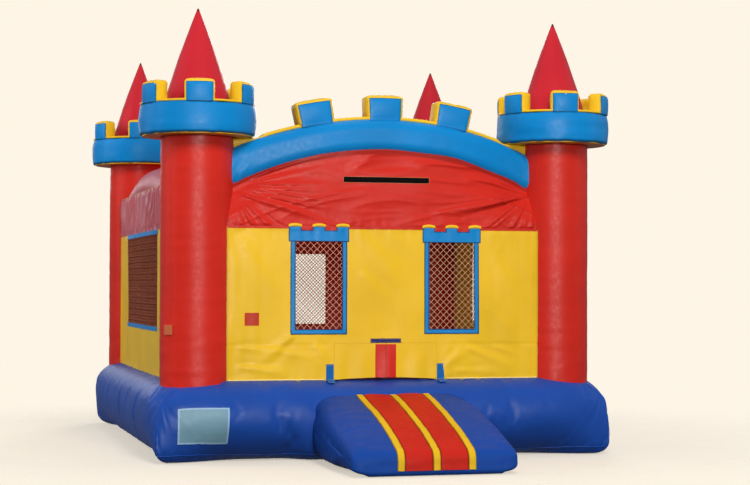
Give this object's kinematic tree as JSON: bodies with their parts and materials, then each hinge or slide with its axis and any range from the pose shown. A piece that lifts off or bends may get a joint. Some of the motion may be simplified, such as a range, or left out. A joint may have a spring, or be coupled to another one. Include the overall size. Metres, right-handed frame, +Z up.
{
  "type": "inflatable bounce house",
  "caption": "Inflatable bounce house with corner towers, a crenellated front arch, netted windows, a slit door with hanging flaps, an entrance ramp and an air inlet.",
  "frame": {"origin": "middle of the base's underside, on the ground", "axes": "+X to the right seen from the front, -Y towards the ramp, +Z up"},
  "size_m": [4.1999, 6.3043, 3.8157],
  "materials": {
    "royal_blue_fabric": "satin",
    "red_fabric": "satin",
    "sky_blue_fabric": "satin",
    "yellow_fabric": "satin",
    "crimson_fabric": "satin",
    "net_cord": "matte",
    "navy_webbing": "matte",
    "black_webbing": "matte",
    "steel": "satin"
  },
  "bodies": {
    "house": {"base_front_tube": "royal_blue_fabric", "base_back_tube": "royal_blue_fabric", "base_left_tube": "royal_blue_fabric", "base_right_tube": "royal_blue_fabric", "bounce_floor": "royal_blue_fabric", "column_front_left": "red_fabric", "column_front_right": "red_fabric", "column_back_left": "red_fabric", "column_back_right": "red_fabric", "collar_front_left": "sky_blue_fabric", "collar_front_right": "sky_blue_fabric", "collar_back_left": "sky_blue_fabric", "collar_back_right": "sky_blue_fabric", "crown_front_left": "yellow_fabric", "crown_front_right": "yellow_fabric", "crown_back_left": "yellow_fabric", "crown_back_right": "yellow_fabric", "cone_front_left": "crimson_fabric", "cone_front_right": "crimson_fabric", "cone_back_left": "crimson_fabric", "cone_back_right": "crimson_fabric", "tower_merlon_faces": "sky_blue_fabric", "tower_soffits": "yellow_fabric", "front_arch": "sky_blue_fabric", "arch_crown": "yellow_fabric", "arch_merlon_faces": "sky_blue_fabric", "side_beam_left": "red_fabric", "side_beam_right": "red_fabric", "back_beam": "red_fabric", "roof_sheet": "red_fabric", "front_wall_lower": "yellow_fabric", "front_wall_upper": "red_fabric", "back_wall_lower": "red_fabric", "back_wall_upper": "red_fabric", "left_wall_lower": "yellow_fabric", "left_wall_upper": "red_fabric", "right_wall_lower": "yellow_fabric", "right_wall_upper": "red_fabric", "front_window_surrounds": "sky_blue_fabric", "window_strips": "sky_blue_fabric", "hook_strip": "black_webbing", "front_window_nets": "net_cord", "left_window_net": "net_cord", "right_window_net": "net_cord", "back_window_net": "net_cord", "door_bar": "navy_webbing", "hold_down_straps": "sky_blue_fabric", "ramp_cushion": "royal_blue_fabric", "ramp_treads": "red_fabric", "ramp_stripes": "yellow_fabric", "inlet_sleeve": "royal_blue_fabric", "zip_tape": "black_webbing", "anchor_tabs": "black_webbing"},
    "left_flap": {"door_flap_left": "yellow_fabric", "door_grip_left": "red_fabric"},
    "right_flap": {"door_flap_right": "yellow_fabric", "door_grip_right": "red_fabric"},
    "zip_slider": {"zip_slider": "steel"},
    "left_ring": {"anchor_ring_left": "steel"},
    "right_ring": {"anchor_ring_right": "steel"}
  },
  "joints": [
    {"name": "left_flap_hinge", "type": "hinge", "parent": "house", "child": "left_flap", "pos_m": [-0.22675, -2.1227, 0.977], "axis": [1, 0, 0], "range_deg": [-75, 75]},
    {"name": "right_flap_hinge", "type": "hinge", "parent": "house", "child": "right_flap", "pos_m": [0.22675, -2.1227, 0.977], "axis": [1, 0, 0], "range_deg": [-75, 75]},
    {"name": "zip_slide", "type": "slide", "parent": "house", "child": "zip_slider", "axis": [1, 0, 0], "range_m": [0, 0.68]},
    {"name": "left_ring_hinge", "type": "hinge", "parent": "house", "child": "left_ring", "pos_m": [-1.72, 2.3199, 0.33], "axis": [1, 0, 0], "range_deg": [-5, 160]},
    {"name": "right_ring_hinge", "type": "hinge", "parent": "house", "child": "right_ring", "pos_m": [1.72, 2.3199, 0.33], "axis": [1, 0, 0], "range_deg": [-5, 160]}
  ]
}
